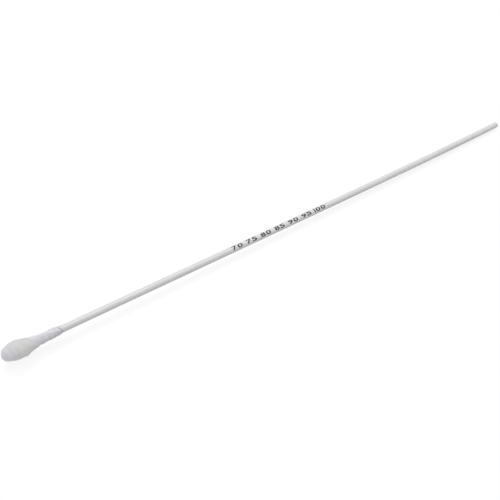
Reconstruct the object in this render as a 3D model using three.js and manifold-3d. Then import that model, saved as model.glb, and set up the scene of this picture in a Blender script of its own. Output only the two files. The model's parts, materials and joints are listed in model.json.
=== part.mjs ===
// Wound-fibre specimen swab, lying as it rests on a flat surface. Millimetres, +Z up.
// A thin plastic rod runs along X. A wad of fibre is wound round its -X end in a spiral of turns.

import * as THREE from "three";
import Module from "manifold-3d";
import { mergeVertices } from "three/addons/utils/BufferGeometryUtils.js";

// ---- Driving dimensions ----

const OVERALL_LENGTH = 180; // from the bud's nose to the rod's free end
const ROD_DIAMETER = 1.8;
const ROD_EDGE = 0.2; // radius of the rounded edge at each cut end

const BUD_DIAMETER = 4.95; // over the crests of the turns, where the bud is fullest
const NOSE_LENGTH = 4; // from the nose to the fullest turn
const SHOULDER_LENGTH = 6.8; // from the fullest turn to the collar
const SHOULDER_HOLD = 2.5; // how far the full thickness carries on into the shoulder
const SHOULDER_RUNOUT = 1.9; // how far the collar's thickness reaches back into it
const COLLAR_LENGTH = 3.7; // the thin sleeve of turns on the rod
const COLLAR_WALL = 0.24; // of fibre over the adhesive there
const LIP_LENGTH = 1.3; // the last turns, which thin out on the rod
const NOSE_COVER = 2.6; // fibre in front of the rod's end
const BOND_GAP = 0.1; // film of adhesive between the rod and the fibre

const TURN_PITCH = 1.75; // from one turn of fibre to the next, measured over the surface
const TURN_DEPTH = 0.09; // from a turn's crest to the groove beside it
const SWIRL_LENGTH = 3; // the turns start as a faint swirl and deepen over this much of the nose

const FLAT_DEPTH = 0.08; // how far the soft bud is pressed flat where it rests

// ---- Fineness of the mesh ----

const SIDES = 36; // round the rod and round the bud
const EDGE_STEPS = 3; // across a rounded edge
const RINGS_PER_TURN = 6;

// ---- Values that follow ----

const rodRadius = ROD_DIAMETER / 2;
const budRadius = BUD_DIAMETER / 2;
const socketRadius = rodRadius + BOND_GAP;
const collarRadius = socketRadius + COLLAR_WALL;
const collarStart = NOSE_LENGTH + SHOULDER_LENGTH;
const collarEnd = collarStart + COLLAR_LENGTH;
const budLength = collarEnd + LIP_LENGTH;
const facetRadius = rodRadius * Math.cos(Math.PI / SIDES); // from the axis to the rod's flat facets

const wasm = await Module();
wasm.setup();

// ---- Outlines: x is the distance from the axis, y the distance behind the nose ----

/** The rod, from its hidden end to its free one. */
function rodOutline() {
  const flat = rodRadius - ROD_EDGE;
  const outline = new THREE.Path();
  outline.moveTo(0, NOSE_COVER);
  outline.lineTo(flat, NOSE_COVER);
  outline.absarc(flat, NOSE_COVER + ROD_EDGE, ROD_EDGE, -Math.PI / 2, 0);
  outline.lineTo(rodRadius, OVERALL_LENGTH - ROD_EDGE);
  outline.absarc(flat, OVERALL_LENGTH - ROD_EDGE, ROD_EDGE, 0, Math.PI / 2);
  outline.lineTo(0, OVERALL_LENGTH);
  return outline;
}

/** The bud's skin over the crests of the turns: nose, shoulder, collar and thinning lip. */
function skinOutline() {
  const skin = new THREE.Path();
  skin.absellipse(0, NOSE_LENGTH, budRadius, NOSE_LENGTH, -Math.PI / 2, 0);
  skin.bezierCurveTo(
    budRadius, NOSE_LENGTH + SHOULDER_HOLD,
    collarRadius, collarStart - SHOULDER_RUNOUT,
    collarRadius, collarStart,
  );
  skin.lineTo(collarRadius, collarEnd);
  skin.absellipse(socketRadius, collarEnd, collarRadius - socketRadius, LIP_LENGTH, 0, Math.PI / 2);
  return skin;
}

/** The bud's blind socket, from its mouth to its floor, a bond gap outside the rod's end. */
function socketOutline() {
  const edge = ROD_EDGE + BOND_GAP;
  const floor = NOSE_COVER - BOND_GAP;
  const socket = new THREE.Path();
  socket.moveTo(socketRadius, budLength);
  socket.lineTo(socketRadius, floor + edge);
  socket.absarc(socketRadius - edge, floor + edge, edge, 0, -Math.PI / 2, true);
  socket.lineTo(0, floor);
  return socket;
}

// ---- Geometry ----

/** Revolves an outline's points about the swab's axis, +X, with a flat facet below. */
function revolve(points) {
  return new THREE.LatheGeometry(points, SIDES, Math.PI / SIDES).rotateZ(-Math.PI / 2);
}

/** How deep the spiral's groove lies, at a distance from the nose and a share of a full turn. */
function grooveDepth(distance, skinLength, turned) {
  const groove = (1 - Math.cos(2 * Math.PI * (distance / TURN_PITCH - turned))) / 2;
  const rise = THREE.MathUtils.smoothstep(distance, 0, SWIRL_LENGTH);
  const fade = THREE.MathUtils.smoothstep(skinLength - distance, 0, LIP_LENGTH);
  return TURN_DEPTH * groove * rise * fade;
}

/** Sinks the groove between the wound turns into the first rings of a revolved outline. */
function windTurns(geometry, outlineCount, ringCount, skinLength) {
  const { position, normal } = geometry.attributes;
  const place = new THREE.Vector3();
  const outward = new THREE.Vector3();
  for (let side = 0; side <= SIDES; side++) {
    const turned = (side % SIDES) / SIDES;
    for (let ring = 0; ring < ringCount; ring++) {
      const vertex = side * outlineCount + ring;
      const distance = (skinLength * ring) / (ringCount - 1);
      place.fromBufferAttribute(position, vertex);
      outward.fromBufferAttribute(normal, vertex);
      place.addScaledVector(outward, -grooveDepth(distance, skinLength, turned));
      position.setXYZ(vertex, ...place);
    }
  }
}

function rodGeometry() {
  return revolve(rodOutline().getPoints(EDGE_STEPS));
}

/** The bud before it is pressed flat: a spiral of turns outside, the rod's socket inside. */
function roundBudGeometry() {
  const skin = skinOutline();
  const skinLength = skin.getLength();
  const rings = Math.ceil((RINGS_PER_TURN * skinLength) / TURN_PITCH);
  const skinPoints = skin.getSpacedPoints(rings);
  const socketPoints = socketOutline().getPoints(EDGE_STEPS).slice(1);
  const outline = [...skinPoints, ...socketPoints];
  const geometry = revolve(outline);
  windTurns(geometry, outline.length, skinPoints.length, skinLength);
  return geometry;
}

// ---- Solids ----

function toSolid(geometry) {
  const bare = geometry.clone();
  bare.deleteAttribute("normal");
  bare.deleteAttribute("uv");
  const merged = mergeVertices(bare);
  return new wasm.Manifold(new wasm.Mesh({
    numProp: 3,
    vertProperties: new Float32Array(merged.attributes.position.array),
    triVerts: new Uint32Array(merged.index.array),
  }));
}

function toGeometry(solid) {
  const { vertProperties, triVerts } = solid.getMesh();
  const geometry = new THREE.BufferGeometry();
  geometry.setAttribute("position", new THREE.BufferAttribute(vertProperties, 3));
  geometry.setIndex(new THREE.BufferAttribute(triVerts, 1));
  geometry.computeVertexNormals();
  return geometry;
}

/** Cuts off what would reach below the surface that the swab lies on. */
function pressFlat(geometry, swab) {
  const side = 3 * budLength;
  const below = new THREE.BoxGeometry(side, side, side);
  below.translate(swab.position.x, 0, -side / 2);
  below.applyMatrix4(swab.matrixWorld.clone().invert());
  return toGeometry(toSolid(geometry).subtract(toSolid(below)));
}

// ---- The swab at rest ----

/** The angle at which both the pressed flat and the rod's free end touch the surface. */
function restAngle() {
  const drop = budRadius - facetRadius;
  const span = OVERALL_LENGTH - ROD_EDGE - NOSE_LENGTH;
  return Math.acos(FLAT_DEPTH / Math.hypot(drop, span)) - Math.atan2(span, drop);
}

/** A frame whose +X is the swab's axis from the nose, tipped down to where the free end rests. */
function restingGroup() {
  const angle = restAngle();
  const swab = new THREE.Group();
  swab.rotation.y = angle;
  swab.position.x = (-OVERALL_LENGTH / 2) * Math.cos(angle);
  swab.position.z = facetRadius * Math.cos(angle) + (OVERALL_LENGTH - ROD_EDGE) * Math.sin(angle);
  swab.updateMatrixWorld(true);
  return swab;
}

function piece(name, geometry, color, roughness) {
  const mesh = new THREE.Mesh(geometry, new THREE.MeshStandardMaterial({ color, roughness, metalness: 0 }));
  mesh.name = name;
  return mesh;
}

const swab = restingGroup();
swab.add(piece("shaft", rodGeometry(), 0xe4e4e1, 0.45));
swab.add(piece("fibre_bud", pressFlat(roundBudGeometry(), swab), 0xefefed, 0.95));

export default swab;
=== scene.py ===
# %% [markdown]
# # A specimen swab
# A swab is a thin plastic rod with a bud of fibre wound on one end. It lies on a white table with
# the bud towards us. The CAD model already holds its sizes and how it rests, so this script loads
# it as a fixed frame, measures it, and builds the finished surfaces round it: the extruded rod, a
# row of printed numbers, the wound bud, its loose fibres, the table and the light.
#
# ## The frame
# Everything is in metres. The rod runs along X, with the bud at the low end. The box that the CAD
# model fills is kept: the camera and the table are placed by it.

# %% Load the imported frame
import json
import math
import random

import bmesh
import bpy
import numpy as np
from mathutils import Matrix, Vector, noise
from mathutils.bvhtree import BVHTree

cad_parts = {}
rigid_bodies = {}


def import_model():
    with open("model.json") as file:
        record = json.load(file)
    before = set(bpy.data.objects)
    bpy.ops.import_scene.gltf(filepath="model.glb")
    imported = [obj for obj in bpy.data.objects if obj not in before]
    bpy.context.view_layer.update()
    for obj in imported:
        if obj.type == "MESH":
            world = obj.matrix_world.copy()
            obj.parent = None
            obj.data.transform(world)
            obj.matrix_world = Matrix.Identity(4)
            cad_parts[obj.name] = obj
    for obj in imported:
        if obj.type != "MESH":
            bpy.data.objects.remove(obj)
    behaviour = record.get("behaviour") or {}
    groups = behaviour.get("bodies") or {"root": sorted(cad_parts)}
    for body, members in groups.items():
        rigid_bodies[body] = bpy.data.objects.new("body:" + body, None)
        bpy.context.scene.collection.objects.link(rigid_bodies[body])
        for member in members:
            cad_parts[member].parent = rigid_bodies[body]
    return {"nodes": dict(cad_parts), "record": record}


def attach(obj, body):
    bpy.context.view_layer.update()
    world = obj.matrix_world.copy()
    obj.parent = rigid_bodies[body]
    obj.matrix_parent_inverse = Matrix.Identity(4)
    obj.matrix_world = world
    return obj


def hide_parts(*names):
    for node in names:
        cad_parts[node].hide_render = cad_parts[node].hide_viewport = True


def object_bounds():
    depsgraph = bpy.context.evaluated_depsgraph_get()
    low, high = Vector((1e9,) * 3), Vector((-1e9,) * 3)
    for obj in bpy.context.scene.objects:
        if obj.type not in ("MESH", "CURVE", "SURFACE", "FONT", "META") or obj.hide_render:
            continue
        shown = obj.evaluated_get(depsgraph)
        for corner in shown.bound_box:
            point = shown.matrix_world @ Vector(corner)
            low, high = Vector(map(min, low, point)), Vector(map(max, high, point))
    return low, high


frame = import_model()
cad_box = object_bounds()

MM = 0.001
print("box of the CAD model, mm:", [[round(v / MM, 2) for v in corner] for corner in cad_box])

# %% [markdown]
# ## The camera
# The swab is seen from in front of the bud and above it, with a longish lens, so the rod runs away
# to the upper right and gets thinner. The camera stands at a measured place from the middle of the
# swab's box. It could be aimed with a constraint, but two angles say the same and stay readable:
# how far it is turned from +Y, and how far it looks down.

# %% Place the camera
CAMERA_OFFSET = Vector((-0.14158, -0.15926, 0.1556))
CAMERA_AZIMUTH, CAMERA_ELEVATION = -38.494, 37.681
CAMERA_LENS, CAMERA_SENSOR = 66.264, 36.0
NEAREST_SEEN, FURTHEST_SEEN = 0.01, 20

box_middle = (cad_box[0] + cad_box[1]) / 2
floor_middle = Vector((box_middle.x, box_middle.y, cad_box[0].z))
bpy.ops.object.select_all(action="DESELECT")
bpy.ops.object.camera_add(
    location=floor_middle + CAMERA_OFFSET,
    rotation=(math.radians(90 - CAMERA_ELEVATION), 0, math.radians(CAMERA_AZIMUTH)),
)
camera = bpy.context.object
camera.data.lens, camera.data.sensor_width = CAMERA_LENS, CAMERA_SENSOR
camera.data.clip_start, camera.data.clip_end = NEAREST_SEEN, FURTHEST_SEEN
bpy.context.scene.camera = camera
print("camera stands", round(CAMERA_OFFSET.length, 3), "m from the middle of the swab")

# %% [markdown]
# ## The swab's own line
# The rod isn't quite level, because the bud is thicker than the rod. It is easier to model each
# piece along a straight line from the nose of the bud, and to lay it on the real line when it is
# done. The record gives that line: the mount on the cut end has its middle and its direction. The
# nose and the rod's two ends are the furthest points of the CAD meshes along the line.

# %% Measure the line, the rod and the bud
cut_end = next(m for m in frame["record"]["mounts"] if m["name"] == "cut_end")
along = Vector(cut_end["axis"]).normalized()
side = Vector((0, 1, 0))
up = along.cross(side)


def mesh_points(node):
    """The corners of a CAD node's mesh, as an array."""
    mesh = frame["nodes"][node].data
    flat = np.empty(3 * len(mesh.vertices))
    mesh.vertices.foreach_get("co", flat)
    return flat.reshape(-1, 3)


def line_places(points):
    """How far along the line each point is from the cut end, and how far off the line."""
    away = points - np.array(cut_end["pos_m"])
    reach = away @ np.array(along)
    return reach, np.linalg.norm(away - np.outer(reach, along), axis=1)


rod_reach, rod_off = line_places(mesh_points("shaft"))
bud_reach, _ = line_places(mesh_points("fibre_bud"))
nose = Vector(cut_end["pos_m"]) + along * bud_reach.min()
rod_radius = float(rod_off.max())
rod_from, rod_to = (float(v - bud_reach.min()) for v in (rod_reach.min(), rod_reach.max()))
bud_length = float(np.ptp(bud_reach))
swab_frame = Matrix((
    (along.x, side.x, up.x, nose.x),
    (along.y, side.y, up.y, nose.y),
    (along.z, side.z, up.z, nose.z),
    (0, 0, 0, 1),
))
print("rod radius", round(rod_radius / MM, 3), "from", round(rod_from / MM, 2),
      "to", round(rod_to / MM, 2), "mm; bud", round(bud_length / MM, 2), "mm long")

# %% [markdown]
# ## Helpers for modelling
# Operators act on all that is selected, so two helpers keep that in hand. `pick` leaves only the
# objects it is given selected. `choose` opens one in edit mode and selects the vertices, edges or
# faces that pass a test on their place. `settle` lays a finished piece on the swab's line and puts
# that place into the mesh, so that the object itself stays at the origin, unturned. `read_points`
# and `write_points` take a mesh's points out as an array and put them back.

# %% Picking, choosing and settling
SELECT_MODES = {
    "VERT": (True, False, False),
    "EDGE": (False, True, False),
    "FACE": (False, False, True),
}


def pick(*pieces):
    """Leaves edit mode, with only these objects selected and the first one active."""
    if bpy.context.mode != "OBJECT":
        bpy.ops.object.mode_set(mode="OBJECT")
    bpy.ops.object.select_all(action="DESELECT")
    for piece in pieces:
        piece.select_set(True)
    bpy.context.view_layer.objects.active = pieces[0]


def choose(piece, kind, test):
    """Opens the piece in edit mode with the parts of this kind that pass the test selected."""
    pick(piece)
    bpy.ops.object.mode_set(mode="EDIT")
    bpy.context.tool_settings.mesh_select_mode = SELECT_MODES[kind]
    bpy.ops.mesh.select_all(action="DESELECT")
    mesh = bmesh.from_edit_mesh(piece.data)
    parts = {"VERT": mesh.verts, "EDGE": mesh.edges, "FACE": mesh.faces}[kind]
    for part in [part for part in parts if test(part)]:
        part.select_set(True)
    mesh.select_flush_mode()
    bmesh.update_edit_mesh(piece.data)


def close_edit():
    bpy.ops.object.mode_set(mode="OBJECT")


def settle(piece):
    """Lays a piece that was made along X from the nose on the swab's line."""
    piece.matrix_world = swab_frame @ piece.matrix_world
    pick(piece)
    bpy.ops.object.transform_apply(location=True, rotation=True, scale=True)


def read_points(piece):
    flat = np.empty(3 * len(piece.data.vertices), np.float32)
    piece.data.vertices.foreach_get("co", flat)
    return flat.reshape(-1, 3).astype(float)


def write_points(piece, points):
    piece.data.vertices.foreach_set("co", np.asarray(points, np.float32).ravel())
    piece.data.update()


def triangles(piece):
    return sum(len(face.vertices) - 2 for face in piece.data.polygons)


print("can select:", ", ".join(SELECT_MODES))

# %% [markdown]
# ## The rod
# The rod is extruded white plastic, 1.8 mm thick, cut square with a slightly rounded edge. A plain
# cylinder would do for its size. It is added as one, its long faces are cut into rings, both rims
# are bevelled, and the cut face is inset and pressed in a hair, as a blade leaves it.

# %% Turn the rod
ROD_SIDES, ROD_RINGS = 96, 90
ROD_EDGE, EDGE_STEPS = 0.2 * MM, 6
CUT_INSET, CUT_DISH = 0.22 * MM, 0.012 * MM
SAME_PLACE = 1e-7  # points closer than this, in metres, are in one place

rod_length = rod_to - rod_from
bpy.ops.object.select_all(action="DESELECT")
bpy.ops.mesh.primitive_cylinder_add(
    vertices=ROD_SIDES, radius=rod_radius, depth=rod_length, end_fill_type="NGON",
    location=(rod_from + rod_length / 2, 0, 0), rotation=(0, math.pi / 2, 0),
)
rod = bpy.context.object
rod.name = rod.data.name = "rod"
bpy.ops.object.transform_apply(location=True, rotation=True, scale=True)

choose(rod, "EDGE", lambda e: abs(e.verts[0].co.x - e.verts[1].co.x) > rod_length / 2)
bpy.ops.mesh.subdivide(number_cuts=ROD_RINGS)
rims = (rod_from, rod_to)
choose(rod, "EDGE", lambda e: any(all(abs(v.co.x - x) < SAME_PLACE for v in e.verts) for x in rims))
bpy.ops.mesh.bevel(offset=ROD_EDGE, segments=EDGE_STEPS, affect="EDGES")
choose(rod, "FACE", lambda f: len(f.verts) == ROD_SIDES and f.normal.x > 0)
bpy.ops.mesh.inset(thickness=CUT_INSET, depth=0)
bpy.ops.mesh.inset(thickness=CUT_INSET, depth=-CUT_DISH)
close_edit()
print("rod:", triangles(rod), "triangles,", round(rod_length / MM, 1), "mm long")

# %% [markdown]
# ## The rod's small faults
# No extruded stick is perfect. The rings are moved in and out by a few thousandths of a
# millimetre, so that light doesn't slide along a perfect tube. Then comes the bow. A long stick is
# seldom quite straight, and on a table it rolls over until its bow lies flat. So between bud and
# free end the rod swings to the front by 0.6 mm, widest two thirds of the way along, as the
# specimen's does. The part's solid stays straight. A Curve modifier could bend the rod, but the
# printed numbers have to follow it exactly, so the bow is a function that both use.

# %% Wander, bow and lay the rod
ROD_WANDER, WANDER_LENGTH = 0.004 * MM, 9 * MM
WANDER_LINE = (3.1, 0.4)  # where the line that is read runs through the noise
ROD_BOW, BOW_BEND = 0.6 * MM, 5  # a higher bend puts the widest place nearer the free end
BOW_WIDEST = BOW_BEND ** (-1 / (BOW_BEND - 1))  # that place, as a share of the way along
SMOOTH_BELOW = math.radians(40)  # a sharper edge than this stays an edge


def bowed(points):
    """The points swung to the front, -Y, by the rod's bow."""
    share = np.clip((points[:, 0] - bud_length) / (rod_to - bud_length), 0, 1)
    swing = (share - share ** BOW_BEND) / (BOW_WIDEST - BOW_WIDEST ** BOW_BEND)
    return points - np.outer(ROD_BOW * swing, (0, 1, 0))


points = read_points(rod)
for point in points:
    wander = ROD_WANDER * noise.noise((point[0] / WANDER_LENGTH, *WANDER_LINE))
    point[1:] *= 1 + wander / rod_radius
write_points(rod, bowed(points))
pick(rod)
bpy.ops.object.shade_smooth_by_angle(angle=SMOOTH_BELOW)
settle(rod)
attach(rod, "root")
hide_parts("shaft")
print("rod bowed by", round(ROD_BOW / MM, 2), "mm,", round(BOW_WIDEST, 2), "of the way along")

# %% [markdown]
# ## Nodes in code
# A finish is a set of nodes with wires between them. Made by hand, each one is picked from a menu
# and joined up with the mouse. In code, one helper adds a node with its settings, one joins pairs
# of sockets, and two more make a node group and place it.

# %% Small tools for nodes
def add(tree, kind, **values):
    """A node with these settings, and with these values on its inputs."""
    made = tree.nodes.new("ShaderNode" + kind)
    for name, value in values.items():
        if name in made.bl_rna.properties:
            setattr(made, name, value)
        else:
            made.inputs[name.replace("_", " ")].default_value = value
    return made


def wire(tree, *pairs):
    for out, into in pairs:
        tree.links.new(out, into)


def new_group(name, takes, gives):
    """A node group with named sockets: {name: (kind, value)} in, {name: kind} out."""
    tree = bpy.data.node_groups.new(name, "ShaderNodeTree")
    for label, (kind, value) in takes.items():
        made = tree.interface.new_socket(label, in_out="INPUT", socket_type="NodeSocket" + kind)
        if value is not None:
            made.default_value = value
    for label, kind in gives.items():
        tree.interface.new_socket(label, in_out="OUTPUT", socket_type="NodeSocket" + kind)
    return tree, tree.nodes.new("NodeGroupInput").outputs, tree.nodes.new("NodeGroupOutput").inputs


def place_group(tree, group, **values):
    made = tree.nodes.new("ShaderNodeGroup")
    made.node_tree = group
    for name, value in values.items():
        made.inputs[name.replace("_", " ")].default_value = value
    return made


def scale_of(tree, size):
    """A noise's scale, which is per metre, from a socket that gives a size in millimetres."""
    made = add(tree, "Math", operation="DIVIDE")
    made.inputs[0].default_value = 1 / MM
    wire(tree, (size, made.inputs[1]))
    return made.outputs[0]


# %% [markdown]
# ## Patterns that several finishes share
# A node group is a small pattern kept in one place. `drift` changes a colour slowly over a piece,
# as dye and dust do. `grain` gives a fine height, stretched along one direction: drawn lines on
# plastic, or the lie of fibre. Both take a place on the piece and a size in millimetres, and both
# put out only a colour or a value. Each finish could hold its own copy, but a group is made once
# and given other values in each place.

# %% The two shared patterns
drift, given, out = new_group(
    "colour_drift",
    {"Place": ("Vector", None), "First": ("Color", (1, 1, 1, 1)), "Second": ("Color", (1, 1, 1, 1)),
     "Size": ("Float", 4.0)},
    {"Colour": "Color", "Mask": "Float"},
)
cloud = add(drift, "TexNoise", Detail=3.0, Roughness=0.55)
spread = add(drift, "MapRange", From_Min=0.36, From_Max=0.64)
blend = add(drift, "Mix", data_type="RGBA")
wire(drift, (given["Place"], cloud.inputs["Vector"]),
     (scale_of(drift, given["Size"]), cloud.inputs["Scale"]),
     (cloud.outputs["Fac"], spread.inputs["Value"]),
     (spread.outputs["Result"], blend.inputs["Factor"]),
     (given["First"], blend.inputs["A"]), (given["Second"], blend.inputs["B"]),
     (blend.outputs["Result"], out["Colour"]), (spread.outputs["Result"], out["Mask"]))

grain, given, out = new_group(
    "fine_grain",
    {"Place": ("Vector", None), "Size": ("Float", 0.1), "Stretch": ("Vector", (1, 1, 1))},
    {"Height": "Float"},
)
stretched = add(grain, "VectorMath", operation="MULTIPLY")
fine = add(grain, "TexNoise", Detail=4.0, Roughness=0.6)
wire(grain, (given["Place"], stretched.inputs[0]), (given["Stretch"], stretched.inputs[1]),
     (stretched.outputs[0], fine.inputs["Vector"]),
     (scale_of(grain, given["Size"]), fine.inputs["Scale"]), (fine.outputs["Fac"], out["Height"]))
print("shared patterns:", drift.name, grain.name)

# %% [markdown]
# ## What every finish starts with
# A finish is a material with one Principled shader. Each one reads the piece's own coordinates, and
# a Mapping node turns these so that X runs along the swab's line from the nose. So a pattern can be
# stretched along the rod, or placed by how far it is from the nose.

# %% A new finish
def new_finish(name):
    """A material, its nodes and its shader, and the place on the piece along the swab's line."""
    material = bpy.data.materials.new(name)
    material.use_nodes = True
    tree = material.node_tree
    shader = tree.nodes["Principled BSDF"]
    where = tree.nodes.new("ShaderNodeTexCoord")
    turned = add(tree, "Mapping", vector_type="TEXTURE")
    turned.inputs["Location"].default_value = nose
    turned.inputs["Rotation"].default_value = swab_frame.to_euler()
    wire(tree, (where.outputs["Object"], turned.inputs["Vector"]))
    return material, tree, shader, turned.outputs["Vector"]


def set_shader(shader, **values):
    for name, value in values.items():
        shader.inputs[name.replace("_", " ")].default_value = value


def wear(piece, material):
    piece.data.materials.clear()
    piece.data.materials.append(material)


print("a finish's X starts at", [round(v / MM, 2) for v in nose], "mm")

# %% [markdown]
# ## White plastic
# The rod is white plastic pressed through a die, which leaves it a smooth satin skin. A clear coat
# over the plastic stands for that skin. It could be done with roughness alone, but a coat keeps its
# soft shine at a slant, where the rod turns away. The colour drifts by a shade along the rod. Long
# faint lines from the die and a much finer speckle break the shine.

# %% The rod's finish
PLASTIC_LIGHT, PLASTIC_DIM = (0.635, 0.635, 0.633, 1), (0.612, 0.612, 0.612, 1)
SHADE_SIZE, LINE_SIZE, SPECKLE_SIZE = 5.0, 0.12, 0.05  # in millimetres
LINE_STRETCH = (0.02, 1, 1)  # fifty times as long as they are wide
SPECKLE_SHARE = 0.35  # how high the speckle stands beside the lines

plastic, tree, shader, place = new_finish("satin_white_plastic")
set_shader(shader, IOR=1.5, Coat_Weight=1.0, Coat_Roughness=0.5)
tint = place_group(tree, drift, First=PLASTIC_LIGHT, Second=PLASTIC_DIM, Size=SHADE_SIZE)
lines = place_group(tree, grain, Size=LINE_SIZE, Stretch=LINE_STRETCH)
speckle = place_group(tree, grain, Size=SPECKLE_SIZE, Stretch=(1, 1, 1))
both = add(tree, "Math", operation="MULTIPLY_ADD")
both.inputs[1].default_value = SPECKLE_SHARE
shine = add(tree, "MapRange", To_Min=0.40, To_Max=0.52)
bump = add(tree, "Bump", Strength=0.25, Distance=0.01 * MM)
wire(tree, (place, tint.inputs["Place"]), (place, lines.inputs["Place"]),
     (place, speckle.inputs["Place"]), (tint.outputs["Colour"], shader.inputs["Base Color"]),
     (speckle.outputs["Height"], both.inputs[0]), (lines.outputs["Height"], both.inputs[2]),
     (both.outputs[0], bump.inputs["Height"]), (bump.outputs["Normal"], shader.inputs["Normal"]),
     (tint.outputs["Mask"], shine.inputs["Value"]),
     (shine.outputs["Result"], shader.inputs["Roughness"]))
wear(rod, plastic)
print("rod's finish:", plastic.name)

# %% [markdown]
# ## Printed numbers
# A row of small dark print runs along the upper, near side of the rod. Here it holds plain
# numbers: how far each place is from the nose, in millimetres. It could be painted in the
# material, but real ink has an edge, so each digit is a thin skin of its own. A digit is typed
# once, made a mesh and cut into strips.

# %% Type each digit once
PRINT_STEPS = range(70, 101, 5)
DIGIT_TALL, DIGIT_WIDE, ONE_WIDE = 1.3 * MM, 1.6 * MM, 0.42 * MM
DIGIT_GAP, DIGIT_WEIGHT = 0.3 * MM, 0.03
DIGIT_STRIPS, CURVE_STEPS = 18, 4
INK_THICK, INK_SUNK = 0.016 * MM, 0.006 * MM
PRINT_FACES = math.radians(29)  # from straight up towards the front, -Y


def digit_wide(figure):
    return ONE_WIDE if figure == "1" else DIGIT_WIDE


def typed_digit(figure):
    """One digit as a thin flat solid, centred, with its feet towards -Y, cut in strips."""
    bpy.ops.object.select_all(action="DESELECT")
    bpy.ops.object.text_add()
    made = bpy.context.object
    made.data.body = figure
    made.data.extrude = 0.5  # any height does, because the digit is scaled to its size below
    made.data.offset = DIGIT_WEIGHT
    made.data.resolution_u = CURVE_STEPS
    bpy.ops.object.convert(target="MESH")
    points = read_points(made)
    low, high = points.min(axis=0), points.max(axis=0)
    size = np.array((digit_wide(figure), DIGIT_TALL, INK_THICK))
    write_points(made, ((points - low) / (high - low) - (0.5, 0.5, 0)) * size)
    choose(made, "VERT", lambda v: True)
    bpy.ops.mesh.remove_doubles(threshold=SAME_PLACE)
    for cut in range(1, DIGIT_STRIPS):
        bpy.ops.mesh.select_all(action="SELECT")
        height = DIGIT_TALL * (cut / DIGIT_STRIPS - 0.5)
        bpy.ops.mesh.bisect(plane_co=(0, height, 0), plane_no=(0, 1, 0))
    close_edit()
    return made


digits = {figure: typed_digit(figure) for figure in sorted(set("".join(map(str, PRINT_STEPS))))}
print("digits typed:", {figure: triangles(made) for figure, made in digits.items()})

# %% [markdown]
# ## Wrapping the row round the rod
# Every copy of a digit is wrapped round the rod: what was its height becomes an angle, and what was
# its thickness becomes a distance off the rod's line. A Curve modifier can do that too, but one
# line of arithmetic is exact. Then the whole row follows the rod's bow.

# %% Print the row round the rod
def wrap(piece, reach):
    """Wraps the flat piece round the rod, with its middle at this reach along the line."""
    flat = read_points(piece)
    turn = PRINT_FACES - flat[:, 1] / rod_radius
    off = rod_radius - INK_SUNK + flat[:, 2]
    write_points(piece, np.stack((flat[:, 0] + reach, -off * np.sin(turn), off * np.cos(turn)), 1))


printed = []
for step in PRINT_STEPS:
    figures = str(step)
    row_wide = sum(map(digit_wide, figures)) + DIGIT_GAP * (len(figures) - 1)
    left = step * MM - row_wide / 2
    for figure in figures:
        mark = digits[figure].copy()
        mark.data = digits[figure].data.copy()
        bpy.context.collection.objects.link(mark)
        wrap(mark, left + digit_wide(figure) / 2)
        left += digit_wide(figure) + DIGIT_GAP
        printed.append(mark)
for made in digits.values():
    bpy.data.objects.remove(made)
pick(*printed)
bpy.ops.object.join()
numbers = bpy.context.object
numbers.name = numbers.data.name = "printed_numbers"
bpy.ops.object.shade_smooth_by_angle(angle=SMOOTH_BELOW)
write_points(numbers, bowed(read_points(numbers)))
settle(numbers)
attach(numbers, "root")
print("numbers:", len(printed), "digits,", triangles(numbers), "triangles")

# %% [markdown]
# ## The ink
# The print is dark grey rather than black, a little blue, thinner in patches and duller than the
# plastic under it. The slow pattern that drifts the plastic's colour does this too, at a size
# smaller than one digit.

# %% The ink's finish
INK_DARK, INK_THIN = (0.03, 0.03, 0.036, 1), (0.09, 0.09, 0.10, 1)
INK_PATCH = 0.35  # in millimetres

ink, tree, shader, place = new_finish("grey_ink")
set_shader(shader, Roughness=0.55, Specular_IOR_Level=0.3)
patchy = place_group(tree, drift, First=INK_DARK, Second=INK_THIN, Size=INK_PATCH)
wire(tree, (place, patchy.inputs["Place"]),
     (patchy.outputs["Colour"], shader.inputs["Base Color"]))
wear(numbers, ink)
print("ink:", ink.name)

# %% [markdown]
# ## The bud's outline
# The bud is loose white fibre wound on the rod's end: a round nose, a plump body, a long shoulder
# and a narrow collar. The CAD node has its sizes but is a plain solid. A copy of it could be
# remeshed, but an even mesh that follows the windings is easier to work on. So its outline is
# measured with rays cast at it from all round, closest together at the nose.

# %% Measure the bud's outline
OUTLINE_STEP = 0.07 * MM
RAY_COUNT = 24
NOSE_PART, NOSE_READINGS, BODY_READINGS = 0.1, 60, 300  # the nose is a tenth of the bud
FIRST_ANGLE, SHORT_OF_END = 0.02, 1e-6  # so that every ray meets the solid
SOFTEN_OVER, SOFTEN_FROM = 9, 1.6 * MM  # readings averaged together behind the nose

cad_bud = frame["nodes"]["fibre_bud"].data
cad_tree = BVHTree.FromPolygons(
    [v.co for v in cad_bud.vertices], [tuple(p.vertices) for p in cad_bud.polygons]
)


def bud_radius(reach):
    """The mean radius of the CAD bud at this reach, from rays cast at its line from all round."""
    found = []
    for index in range(RAY_COUNT):
        turn = 2 * math.pi * (index + 0.5) / RAY_COUNT
        out = side * math.cos(turn) + up * math.sin(turn)
        start = nose + along * reach + out * bud_length
        hit = cad_tree.ray_cast(start, -out)[0]
        if hit is not None:
            found.append((hit - nose - along * reach).length)
    return sum(found) / len(found)


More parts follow.
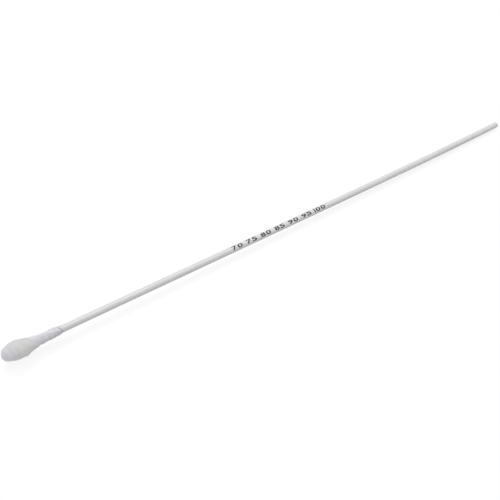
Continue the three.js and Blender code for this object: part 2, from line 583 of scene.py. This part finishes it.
nose_end = bud_length * NOSE_PART
fine_reach = np.concatenate((
    nose_end * (1 - np.cos(np.linspace(FIRST_ANGLE, math.pi / 2, NOSE_READINGS))),
    np.linspace(nose_end, bud_length - SHORT_OF_END, BODY_READINGS)[1:],
))
fine_radius = np.array([bud_radius(float(reach)) for reach in fine_reach])
with_ends = np.pad(fine_radius, SOFTEN_OVER // 2, mode="edge")
softened = np.convolve(with_ends, np.ones(SOFTEN_OVER) / SOFTEN_OVER, mode="valid")
fine_radius = np.where(fine_reach > SOFTEN_FROM, softened, fine_radius)
outline = np.stack((np.append(0, fine_reach), np.append(0, fine_radius)), 1)
lengths = np.append(0, np.cumsum(np.linalg.norm(np.diff(outline, axis=0), axis=1)))
count = int(lengths[-1] / OUTLINE_STEP)
even = np.linspace(0, lengths[-1], count)
skin = np.stack([np.interp(even, lengths, outline[:, axis]) for axis in (0, 1)], 1)
print("bud outline:", count, "rings, widest", round(2 * skin[:, 1].max() / MM, 2), "mm")

# %% [markdown]
# ## From outline to body
# Over its last turns the fibre thins out to a film on the rod. There the outline turns in, and runs
# back as the wall of the blind socket that the rod sits in, so that the body is closed. The outline
# is drawn as a chain of edges and spun once round the line. A Screw modifier would do as well, but
# after the operator the mesh is there at once, to be merged and its normals turned outwards.

# %% Spin the bud
BUD_SIDES = 320
BOND_LINE = 0.012 * MM  # the film between fibre and rod
THINNING_REACH, THINNEST = 1.9 * MM, 0.035 * MM
THINNING_CURVE = 0.45  # below 1, so most of it comes at the very end
LIP_STEP, LIP_TURN = 0.002 * MM, 0.03 * MM
SOCKET_RINGS, SOCKET_RINGS_FROM = 12, 1 * MM
SPUN_TOGETHER = 2e-8  # less than SAME_PLACE, because the nose's first rings are tiny

socket_radius = rod_radius + BOND_LINE
socket_end = rod_from - BOND_LINE
left_to_thin = np.clip((bud_length - skin[:, 0]) / THINNING_REACH, 0, 1) ** THINNING_CURVE
thinned = np.maximum((skin[:, 1] - socket_radius) * left_to_thin, THINNEST)
collar = skin[:, 0] > bud_length - THINNING_REACH
skin[collar, 1] = socket_radius + thinned[collar]
rings = np.linspace(bud_length - SOCKET_RINGS_FROM, socket_end, SOCKET_RINGS)
wall = [
    (bud_length - LIP_STEP, socket_radius + LIP_TURN),
    (bud_length - LIP_TURN, socket_radius),
    *((float(reach), socket_radius) for reach in rings),
    (socket_end, socket_radius / 2),
    (socket_end, 0),
]
corners = [(reach, off, 0) for reach, off in [*map(tuple, skin), *wall]]
chain = bpy.data.meshes.new("bud_body")
chain.from_pydata(corners, [(index, index + 1) for index in range(len(corners) - 1)], [])
bud = bpy.data.objects.new("bud_body", chain)
bpy.context.collection.objects.link(bud)
choose(bud, "VERT", lambda v: True)
bpy.ops.mesh.spin(steps=BUD_SIDES, angle=2 * math.pi, center=(0, 0, 0), axis=(1, 0, 0))
bpy.ops.mesh.select_all(action="SELECT")
bpy.ops.mesh.remove_doubles(threshold=SPUN_TOGETHER)
bpy.ops.mesh.normals_make_consistent(inside=False)
close_edit()
print("bud body:", triangles(bud), "triangles,", len(bud.data.vertices), "vertices")

# %% [markdown]
# ## The lie of the fibre
# Wound fibre is never quite round. One spiral runs from the nose to the collar, deepest at the
# nose, and the fibre draws in a little behind the nose. It sinks in at two places and stands proud
# at two others. It bunches into soft lumps and, finer than those, into bundles that lie round the
# bud with a slight slant, the upper ones across the lower ones. A displacement texture could do the
# lumps, but not the spiral, so all of it is worked out in code, as one height for each place.

# %% How high the fibre stands
TURN_PITCH, TURN_DEPTH = 1.75 * MM, 0.05 * MM
NOSE_SWIRL, SWIRL_ENDS = 0.8, 3.0 * MM  # the first turn is sunk this much deeper
LUMP_SIZE, LUMP_HEIGHT = 1.05 * MM, 0.19 * MM
LUMPS_AT_NOSE, LUMPS_FROM = 0.3, 2.5 * MM  # this share of their height at the nose, then more
WAIST, WAIST_WIDTH, WAIST_DEPTH = 1.95 * MM, 0.45 * MM, 0.07 * MM  # behind the nose
NEAR_SIDE, FAR_SIDE = math.radians(-135), math.radians(45)  # low at the front, high at the back
SLACK = (  # where the fibre sinks in (or, below zero, stands proud): side, from, to, depth
    (NEAR_SIDE, 1.2 * MM, 5.2 * MM, 0.2 * MM),
    (NEAR_SIDE, 9.4 * MM, 12.2 * MM, -0.12 * MM),
    (FAR_SIDE, 5.6 * MM, 9.6 * MM, 0.2 * MM),
    (FAR_SIDE, 13.2 * MM, 14.8 * MM, -0.14 * MM),
)
BUNDLE_SIZE, BUNDLE_HEIGHT = 0.42 * MM, 0.03 * MM
BUNDLE_LIES = ((0.22, 3.0), (-0.18, 9.0))  # each layer's slant, and where it reads the noise
STRAND_SIZE, STRAND_HEIGHT = 0.13 * MM, 0.012 * MM
STRAND_LIES = ((0.12, 5.0), (-0.25, 7.0))
DRAWN_OUT, VALLEY_DEPTH = 0.16, 3.2  # ridges are about six times as long as they are wide


def ridges(reach, y, z, size, slant, start):
    """Ridges that run round the line with a slant: 1 on a crest, lower to both sides."""
    place = ((reach + slant * y) / size, z / size * DRAWN_OUT + start, y / size * DRAWN_OUT)
    return 1 - VALLEY_DEPTH * abs(noise.noise(place))


def woven(reach, y, z, size, lies):
    """Two layers of ridges that cross. The higher one hides the other."""
    (slant, start), (cross_slant, cross_start) = lies
    return max(ridges(reach, y, z, size, slant, start),
               ridges(reach, z, y, size, cross_slant, cross_start))


def slack(reach, y, z):
    """How far the fibre sinks in at a place on the bud."""
    total = 0
    for way, start, end, depth in SLACK:
        if start < reach < end:
            facing = max(0, math.cos(math.atan2(y, z) - way))
            total += depth * facing ** 2 * math.sin(math.pi * (reach - start) / (end - start))
    return total


def relief(reach, y, z):
    """How far the fibre stands out at a place on the bud."""
    turn = math.atan2(y, z) / (2 * math.pi)
    groove = 0.5 - 0.5 * math.cos(2 * math.pi * (reach / TURN_PITCH - turn))
    sunk = TURN_DEPTH * (1 + NOSE_SWIRL * max(0, 1 - reach / SWIRL_ENDS))
    waist = WAIST_DEPTH * math.exp(-(((reach - WAIST) / WAIST_WIDTH) ** 2))
    lump = noise.noise((reach / LUMP_SIZE, y / LUMP_SIZE, z / LUMP_SIZE))
    lump *= min(1, LUMPS_AT_NOSE + max(reach, 0) / LUMPS_FROM)
    coarse = woven(reach, y, z, BUNDLE_SIZE, BUNDLE_LIES)
    thin = woven(reach, y, z, STRAND_SIZE, STRAND_LIES)
    return (
        -sunk * (1 - groove) ** 3 - waist - slack(reach, y, z) + LUMP_HEIGHT * lump
        + BUNDLE_HEIGHT * (coarse - 0.5) + STRAND_HEIGHT * (thin - 0.5)
    )


print("height on top, 5 mm from the nose:", round(relief(5 * MM, 0, 2 * MM) / MM, 3), "mm")

# %% [markdown]
# ## Raising the fibre
# The outer skin is moved along its normals by that height. The socket's wall stays where it is, and
# near it the height fades out. Once the bud lies on its line, what would be below the table is
# pressed flat, with a soft edge. The usual way to make something padded is a cloth simulation with
# pressure, but that blows up a skin, and this bud has no skin: it is fibre right through.

# %% Move the bud's skin
SKIN_CLEAR, NOSE_CLEAR = 0.02 * MM, 0.1 * MM  # further out than this from the socket is skin
FADE_OVER = 0.25 * MM
FLAT_SOFTNESS = 0.02 * MM

points = read_points(bud)
normals = np.empty(3 * len(points), np.float32)
bud.data.vertices.foreach_get("normal", normals)
normals = normals.reshape(-1, 3)
off_wall = np.hypot(points[:, 1], points[:, 2]) - socket_radius
outer = (off_wall > SKIN_CLEAR) | (points[:, 0] < socket_end - NOSE_CLEAR)
for index in np.flatnonzero(outer):
    reach, y, z = points[index]
    share = min(1, off_wall[index] / FADE_OVER) if reach > socket_end else 1
    points[index] += normals[index] * relief(reach, y, z) * share
write_points(bud, points)
settle(bud)
points = read_points(bud)
low = points[:, 2]
points[:, 2] = (low + np.sqrt(low ** 2 + FLAT_SOFTNESS ** 2)) / 2
write_points(bud, points)
pick(bud)
bpy.ops.object.shade_smooth()
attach(bud, "root")
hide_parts("fibre_bud")
print("bud body spans z from", round(points[:, 2].min() / MM, 3),
      "to", round(points[:, 2].max() / MM, 3), "mm")

# %% [markdown]
# ## Fibres that can be seen
# On the body lie strands of a few fibres each, thin as hair, round the bud with a slant that
# wanders. A particle system could grow hairs, but it doesn't lay them round a bud. So each strand
# is a walk over the surface: a step, back on to the surface, and the next step. The steps get
# shorter near the tip of the nose, where there is little room to go round. Blender may number the
# spun faces differently each time, so they are sorted by place first, and every walk comes out the
# same.

# %% Tools that find places on the bud
STEP_PART, NARROWEST = 0.42, 0.12 * MM  # of the distance from the line, which counts as no less
OUTSIDE = 5 * MM  # further from the line than any of the bud


def on_surface(reach, turn):
    """The bud's surface point and normal that a ray from outside meets at this reach and turn."""
    out = side * math.sin(turn) + up * math.cos(turn)
    hit, normal, _, _ = bud_tree.ray_cast(nose + along * reach + out * OUTSIDE, -out)
    return hit, normal


def off_line(point):
    """The way from the swab's line straight out to a point."""
    away = point - nose
    return away - along * away.dot(along)


def walk(point, normal, slant, veer, steps, stride):
    """Points and normals of a path round the line. The slant grows by veer with each step."""
    path = []
    for _ in range(steps):
        path.append((point.copy(), normal.copy()))
        off = off_line(point)
        around = along.cross(off).normalized()
        heading = around * math.cos(slant) + along * math.sin(slant)
        heading = (heading - normal * heading.dot(normal)).normalized()
        step = min(stride, STEP_PART * max(off.length, NARROWEST))
        point, normal, _, _ = bud_tree.find_nearest(point + heading * step)
        slant += veer
    return path


bud_faces = sorted(bud.data.polygons, key=lambda face: tuple(face.center))
bud_tree = BVHTree.FromPolygons(
    [v.co.copy() for v in bud.data.vertices], [tuple(face.vertices) for face in bud_faces]
)
print("top of the bud 5 mm from the nose is at z", round(on_surface(5 * MM, 0)[0].z / MM, 2), "mm")

# %% [markdown]
# ## From paths to one mesh
# Thousands of strands are still one object: a curve with a thin spline for each, made a mesh. Such
# a tube has only four sides, because a strand is too thin for its sides to show. For baking, every
# face gets a small square of its own, because an automatic unwrap would be nearly all margin.

# %% Tools that make paths a mesh
SQUARE_CORNERS = ((0.1, 0.1), (0.9, 0.1), (0.9, 0.9), (0.1, 0.9))
STRAND_WELD = 1e-8  # less than SAME_PLACE, because strands are thin


def spread_faces(piece):
    """A map for baking on which every face has a small square of its own, row after row."""
    columns = math.ceil(math.sqrt(len(piece.data.polygons)))
    squares = piece.data.uv_layers.new(name="OFBake")
    for index, face in enumerate(piece.data.polygons):
        row, column = divmod(index, columns)
        for (x, y), loop in zip(SQUARE_CORNERS, face.loop_indices):
            squares.data[loop].uv = ((column + x) / columns, (row + y) / columns)


def strand_object(name, paths):
    """One curve object of thin round strands from [(points, radii)], made a mesh."""
    curve = bpy.data.curves.new(name, "CURVE")
    curve.dimensions, curve.bevel_depth, curve.bevel_resolution = "3D", MM, 0
    curve.use_fill_caps, curve.resolution_u = True, 1
    for places, radii in paths:
        spline = curve.splines.new("POLY")
        spline.points.add(len(places) - 1)
        flat = [value for place in places for value in (*place, 1)]
        spline.points.foreach_set("co", flat)
        spline.points.foreach_set("radius", [radius / MM for radius in radii])
    made = bpy.data.objects.new(name, curve)
    bpy.context.collection.objects.link(made)
    pick(made)
    bpy.ops.object.convert(target="MESH")
    made = bpy.context.object
    choose(made, "VERT", lambda v: True)
    bpy.ops.mesh.remove_doubles(threshold=STRAND_WELD)
    close_edit()
    bpy.ops.object.shade_smooth()
    spread_faces(made)
    return made


# %% [markdown]
# ## Choosing where strands begin
# If all distances from the nose were as likely, the thin collar would get as many strands as the
# plump body. So a distance is the likelier, the wider the bud is there. All that is drawn at random
# comes from one generator with a fixed seed, so it is the same each time.

# %% Draw places along the bud
SEED, CHOICES = 17, 400
FIRST_CHOICE, SHORT_OF_COLLAR = 0.02 * MM, 0.2 * MM

reach_choices = np.linspace(FIRST_CHOICE, bud_length - SHORT_OF_COLLAR, CHOICES)
widths = np.interp(reach_choices, skin[:, 0], skin[:, 1])
chances = np.cumsum(widths) / widths.sum()
rng = random.Random(SEED)


def random_place():
    """A reach along the bud and a turn round it."""
    reach = float(np.interp(rng.random(), chances, reach_choices))
    return reach, rng.uniform(-math.pi, math.pi)


print("half of the strands begin within",
      round(float(np.interp(0.5, chances, reach_choices)) / MM, 1), "mm of the nose")

# %% [markdown]
# ## Laying the strands
# A strand is thickest and highest in its middle, and its two ends dip into the body, so that no end
# is seen. Where the bud rests, none goes below the table.

# %% Walk strands over the bud
STRAND_COUNT, STRAND_POINTS = 800, 10
STRAND_REACH = 0.46 * MM  # how long each step is
STRAND_SLANT, STRAND_VEER = (0.06, 0.16), (0, 0.02)  # mean and spread
STRAND_RADII, STRAND_LIFTS = (0.005, 0.011), (-0.002, 0.006)  # in millimetres
THIN_END, END_DIP = 0.35, 1.6  # of the strand's radius

paths = []
for _ in range(2 * STRAND_COUNT):
    if len(paths) == STRAND_COUNT:
        break
    point, normal = on_surface(*random_place())
    if point is None:
        continue
    slant = rng.gauss(*STRAND_SLANT)
    path = walk(point, normal, slant, rng.gauss(*STRAND_VEER), STRAND_POINTS, STRAND_REACH)
    thick = rng.uniform(*STRAND_RADII) * MM
    lift = rng.uniform(*STRAND_LIFTS) * MM
    places, radii = [], []
    for index, (point, normal) in enumerate(path):
        share = math.sin(math.pi * index / (len(path) - 1))
        raised = point + normal * (lift * share - thick * (1 - share) * END_DIP)
        raised.z = max(raised.z, thick)
        places.append(raised)
        radii.append(thick * (THIN_END + (1 - THIN_END) * share))
    paths.append((places, radii))
strands = strand_object("bud_strands", paths)
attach(strands, "root")
print("strands:", len(paths), "strands,", triangles(strands), "triangles,",
      len(strands.data.vertices), "vertices")

# %% [markdown]
# ## Fuzz
# Fibre ends stand off the bud, bent and uneven. They are what makes its outline soft and a little
# ragged. Where the collar ends, a few feathers of fibre lie along the rod, so that it thins out and
# has no hard edge. Both are hairs, and a hair is a short path: one that leaves the surface and
# curls, or one that follows the collar and then the rod.

# %% One hair and one feather
HAIR_POINTS, TIP_THINNING = 6, 0.6
HAIR_RISE, HAIR_RADII = (0.25, 1.0), (0.005, 0.009)  # radii in millimetres
CURL_DOWN, CURL_ALONG = (-0.34, 0.05), (0, 0.14)
ROOT_DEPTH = 0.02 * MM
FEATHER_LENGTHS, FEATHER_LEANS = (0.3, 1.3), (-0.1, 0.5)  # all but the leans in millimetres
FEATHER_RADII, FEATHER_LIFTS = (0.006, 0.011), (0, 0.09)


def hair(root, normal, along_share, lean, length, coarse):
    """A bent hair from just under the surface, this many times as coarse: places and radii."""
    around = along.cross(off_line(root)).normalized() * lean
    heading = (around + normal * rng.uniform(*HAIR_RISE) + along * along_share).normalized()
    curl = normal * rng.uniform(*CURL_DOWN) + along * rng.gauss(*CURL_ALONG)
    thick = rng.uniform(*HAIR_RADII) * MM * coarse
    places, radii = [], []
    spot = root - normal * (ROOT_DEPTH + thick)
    for index in range(HAIR_POINTS):
        places.append(Vector((spot.x, spot.y, max(spot.z, thick))))
        radii.append(thick * (1 - TIP_THINNING * index / (HAIR_POINTS - 1)))
        spot = spot + heading * length / (HAIR_POINTS - 1)
        heading = (heading + curl).normalized()
    return places, radii


def feather(reach, turn):
    """A hair that leaves the collar's end and lies along the rod: places and radii."""
    length, lean = rng.uniform(*FEATHER_LENGTHS) * MM, rng.uniform(*FEATHER_LEANS)
    thick, lift = rng.uniform(*FEATHER_RADII) * MM, rng.uniform(*FEATHER_LIFTS) * MM
    places, radii = [], []
    for share in np.linspace(0, 1, HAIR_POINTS).tolist():
        here, angle = reach + length * share, turn + lean * share
        under = max(float(np.interp(here, skin[:, 0], skin[:, 1], right=0)), rod_radius)
        out = side * math.sin(angle) + up * math.cos(angle)
        places.append(nose + along * here + out * (under + thick + lift * share))
        radii.append(thick * (1 - TIP_THINNING * share))
    return places, radii


# %% [markdown]
# ## Tufts
# Single hairs spread evenly would look like the fur of a toy. On real fibre they come in tufts that
# lean one way, some of fine hairs and some of thicker wisps, with calm places between. So a tuft's
# place is drawn first, and then its hairs close round it.

# %% Grow the fuzz
TUFT_COUNT, HAIRS_IN_TUFT = 360, (4, 14)
TUFT_WIDTH, TUFT_COARSENESS = 0.16 * MM, (1, 1, 1, 2.5)  # one tuft in four is of thicker wisps
SHORTEST, LONGER = 0.14, 0.34  # in millimetres; few are much longer than the shortest
TUFT_LEANS, TUFT_ALONG, HAIR_STRAYS, HAIR_SHARES = (0.3, 1.0), 0.5, 0.2, (0.6, 1.15)
ROOTS_FROM, ROOTS_SHORT = 0.02 * MM, 0.05 * MM  # of the nose and of the collar's end
FEATHER_COUNT, FEATHER_ROOTS = 60, (0.1 * MM, 0.9 * MM)

paths = []
for _ in range(TUFT_COUNT):
    reach, turn = random_place()
    length = (SHORTEST + LONGER * rng.random() ** 2) * MM
    lean, along_share = rng.choice((-1, 1)) * rng.uniform(*TUFT_LEANS), rng.gauss(0, TUFT_ALONG)
    radius = float(np.interp(reach, skin[:, 0], skin[:, 1]))
    coarse = rng.choice(TUFT_COARSENESS)
    for _ in range(rng.randint(*HAIRS_IN_TUFT)):
        root_reach = max(reach + rng.gauss(0, TUFT_WIDTH), ROOTS_FROM)
        root_reach = min(root_reach, bud_length - ROOTS_SHORT)
        root, normal = on_surface(root_reach, turn + rng.gauss(0, TUFT_WIDTH) / radius)
        if root is not None:
            reached = length * rng.uniform(*HAIR_SHARES)
            strayed = along_share + rng.gauss(0, HAIR_STRAYS)
            paths.append(hair(root, normal, strayed, lean, reached, coarse))
for _ in range(FEATHER_COUNT):
    paths.append(feather(bud_length - rng.uniform(*FEATHER_ROOTS), rng.uniform(-math.pi, math.pi)))
fuzz = strand_object("bud_fuzz", paths)
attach(fuzz, "root")
print("fuzz:", len(paths), "hairs in", TUFT_COUNT, "tufts,", triangles(fuzz), "triangles")

# %% [markdown]
# ## Soft white fibre
# A wad of fibre is mostly air. Light goes in between the fibres, some comes straight back, and some
# comes out on the far side, so the bud looks soft and its shaded side stays light. A volume would
# be truest but slow, and an export would lose it. So the finish mixes a Principled shader that
# scatters a little way under the surface with a Translucent one. The fibre is a cool white, but
# warmer where it is thick over the rod's end, and its lie is a fine bump. The loose strands are too
# thin for light to scatter inside them, so their finish has neither scattering nor bump.

# %% The fibre's two whites
FIBRE_COOL, FIBRE_COOL_DIM = (0.90, 0.895, 0.965, 1), (0.87, 0.865, 0.93, 1)
FIBRE_WARM, FIBRE_WARM_DIM = (0.885, 0.875, 0.865, 1), (0.855, 0.845, 0.835, 1)
WARM_FROM, COOL_FROM = (1.8 * MM, 3.4 * MM), (6.8 * MM, 8.8 * MM)  # where one white takes over


def fibre_tint(tree, shader, place, size):
    """Cool white at the nose and neck, warm white between them, each drifting over this size."""
    cool = place_group(tree, drift, First=FIBRE_COOL, Second=FIBRE_COOL_DIM, Size=size)
    warm = place_group(tree, drift, First=FIBRE_WARM, Second=FIBRE_WARM_DIM, Size=size)
    reach = tree.nodes.new("ShaderNodeSeparateXYZ")
    begins = add(tree, "MapRange", From_Min=WARM_FROM[0], From_Max=WARM_FROM[1])
    ends = add(tree, "MapRange", From_Min=COOL_FROM[1], From_Max=COOL_FROM[0])
    begins.interpolation_type = ends.interpolation_type = "SMOOTHSTEP"
    thick = add(tree, "Math", operation="MULTIPLY")
    blend = add(tree, "Mix", data_type="RGBA")
    wire(tree, (place, cool.inputs["Place"]), (place, warm.inputs["Place"]),
         (place, reach.inputs["Vector"]),
         (reach.outputs["X"], begins.inputs["Value"]), (reach.outputs["X"], ends.inputs["Value"]),
         (begins.outputs["Result"], thick.inputs[0]), (ends.outputs["Result"], thick.inputs[1]),
         (thick.outputs[0], blend.inputs["Factor"]), (cool.outputs["Colour"], blend.inputs["A"]),
         (warm.outputs["Colour"], blend.inputs["B"]),
         (blend.outputs["Result"], shader.inputs["Base Color"]))


print("the bud is warm white from", WARM_FROM[1] / MM, "to", COOL_FROM[0] / MM, "mm from the nose")

# %% The finishes of body and loose fibre
THROUGH_SHARE, THROUGH_WHITE = 0.52, (0.97, 0.97, 0.97, 1)
BODY_TINT_SIZE, LOOSE_TINT_SIZE = 3.2, 0.4  # in millimetres, as the next one is
LIE_SIZE, LIE_STRETCH = 0.07, (1, 0.12, 0.12)


def let_through(tree, shader):
    """Mixes light that comes through from behind into what the shader shows."""
    through = add(tree, "BsdfTranslucent", Color=THROUGH_WHITE)
    both_ways = add(tree, "MixShader", Fac=THROUGH_SHARE)
    wire(tree, (shader.outputs[0], both_ways.inputs[1]), (through.outputs[0], both_ways.inputs[2]),
         (both_ways.outputs[0], tree.nodes["Material Output"].inputs["Surface"]))


fibre, tree, shader, place = new_finish("soft_white_fibre")
set_shader(shader, Roughness=0.85, Specular_IOR_Level=0.15, Subsurface_Weight=1.0,
           Subsurface_Scale=0.4 * MM, Subsurface_Radius=(1.0, 0.97, 0.95), Sheen_Weight=0.15,
           Sheen_Roughness=0.5)
fibre_tint(tree, shader, place, BODY_TINT_SIZE)
let_through(tree, shader)
lie = place_group(tree, grain, Size=LIE_SIZE, Stretch=LIE_STRETCH)
bump = add(tree, "Bump", Strength=0.8, Distance=0.06 * MM)
wire(tree, (place, lie.inputs["Place"]), (lie.outputs["Height"], bump.inputs["Height"]),
     (bump.outputs["Normal"], shader.inputs["Normal"]))
wear(bud, fibre)

loose, tree, shader, place = new_finish("loose_white_fibre")
set_shader(shader, Roughness=0.8, Specular_IOR_Level=0.2, Sheen_Weight=0.1, Sheen_Roughness=0.5)
fibre_tint(tree, shader, place, LOOSE_TINT_SIZE)
let_through(tree, shader)
wear(strands, loose)
wear(fuzz, loose)
print("fibre finishes:", fibre.name, loose.name)

# %% [markdown]
# ## The table
# The swab lies on a smooth white table that shows almost nothing: a trace of shadow where the bud
# touches, and a pale reflection. Seen by the camera the table is as bright as white: most of that
# is its own glow, and the small rest is what the lamp lights, which keeps the shadow. To the swab
# it is a pale surface that throws light back up on to the bud, but the shine on the rod's underside
# sees it dimmer, as a table in the rod's own shade is, which draws a dark line under the rod.

# %% Lay the table
FLOOR_SIZE, FLOOR_DROP = 4.0, 0.03 * MM
FLOOR_GLOW, FLOOR_LIT = 0.953, 0.05
FLOOR_BOUNCE, FLOOR_SHINE = 0.92, 0.2
POLISH_IOR, POLISH_ROUGHNESS = 1.7, 0.08

bpy.ops.object.select_all(action="DESELECT")
bpy.ops.mesh.primitive_plane_add(size=FLOOR_SIZE, location=(0, 0, cad_box[0].z - FLOOR_DROP))
floor = bpy.context.object
floor.name = "table_top"

table = bpy.data.materials.new("white_table")
table.use_nodes = True
tree = table.node_tree
tree.nodes.clear()
surface = tree.nodes.new("ShaderNodeOutputMaterial")
rays = tree.nodes.new("ShaderNodeLightPath")
glow = add(tree, "Emission", Color=(1, 1, 1, 1), Strength=FLOOR_GLOW)
lit = add(tree, "BsdfDiffuse", Color=(FLOOR_LIT,) * 3 + (1,))
seen = tree.nodes.new("ShaderNodeAddShader")
polish = add(tree, "BsdfGlossy", Color=(1, 1, 1, 1), Roughness=POLISH_ROUGHNESS)
edge = add(tree, "Fresnel", IOR=POLISH_IOR)
polished = tree.nodes.new("ShaderNodeMixShader")
bounce = add(tree, "BsdfDiffuse", Color=(FLOOR_BOUNCE,) * 3 + (1,))
white = add(tree, "Emission", Color=(1, 1, 1, 1), Strength=FLOOR_SHINE)
shiny = add(tree, "Math", operation="MAXIMUM")
by_shine = tree.nodes.new("ShaderNodeMixShader")
by_camera = tree.nodes.new("ShaderNodeMixShader")
wire(tree, (glow.outputs[0], seen.inputs[0]), (lit.outputs[0], seen.inputs[1]),
     (edge.outputs[0], polished.inputs[0]), (seen.outputs[0], polished.inputs[1]),
     (polish.outputs[0], polished.inputs[2]),
     (rays.outputs["Is Glossy Ray"], shiny.inputs[0]),
     (rays.outputs["Is Transmission Ray"], shiny.inputs[1]),
     (shiny.outputs[0], by_shine.inputs[0]), (bounce.outputs[0], by_shine.inputs[1]),
     (white.outputs[0], by_shine.inputs[2]),
     (rays.outputs["Is Camera Ray"], by_camera.inputs[0]), (by_shine.outputs[0], by_camera.inputs[1]),
     (polished.outputs[0], by_camera.inputs[2]), (by_camera.outputs[0], surface.inputs["Surface"]))
wear(floor, table)
print("table at z", round(floor.location.z / MM, 3), "mm")

# %% [markdown]
# ## The light
# One wide soft lamp hangs overhead, a little behind the swab, and a pale sky fills in from all
# round. More lamps would do as well, but one is easier to place. Both are set at a plain level, at
# which a colour comes out about as it is written. The sky is white where the camera or a reflection
# sees it.

# %% Hang the lamp and set the sky
LAMP_HEIGHT, LAMP_SIZE, LAMP_ASIDE = 0.9, 0.9, (0.05, 0.15)
LAMP_SHARE, SKY_SHARE = 0.56, 0.48
WIDE_LAMP = 1.5  # a wide lamp wastes light to the sides, so it needs more

bpy.ops.object.select_all(action="DESELECT")
bpy.ops.object.light_add(type="AREA", location=(*LAMP_ASIDE, LAMP_HEIGHT))
lamp = bpy.context.object
lamp.name = "soft_lamp"
lamp.data.shape, lamp.data.size = "SQUARE", LAMP_SIZE
lamp.data.energy = LAMP_SHARE * math.pi ** 2 * LAMP_HEIGHT ** 2 * WIDE_LAMP

sky = bpy.data.worlds.new("pale_sky")
bpy.context.scene.world = sky
sky.use_nodes = True
tree = sky.node_tree
tree.nodes.clear()
surface = tree.nodes.new("ShaderNodeOutputWorld")
rays = tree.nodes.new("ShaderNodeLightPath")
seen = add(tree, "Background", Color=(1, 1, 1, 1), Strength=1.0)
fill = add(tree, "Background", Color=(1, 1, 1, 1), Strength=SKY_SHARE)
direct = add(tree, "Math", operation="MAXIMUM")
shown = add(tree, "Math", operation="MAXIMUM")
mix = tree.nodes.new("ShaderNodeMixShader")
wire(tree, (rays.outputs["Is Camera Ray"], direct.inputs[0]),
     (rays.outputs["Is Glossy Ray"], direct.inputs[1]), (direct.outputs[0], shown.inputs[0]),
     (rays.outputs["Is Transmission Ray"], shown.inputs[1]), (shown.outputs[0], mix.inputs[0]),
     (fill.outputs[0], mix.inputs[1]), (seen.outputs[0], mix.inputs[2]),
     (mix.outputs[0], surface.inputs["Surface"]))
bpy.context.scene.view_settings.view_transform = "Standard"
print("lamp:", round(lamp.data.energy, 2), "W")
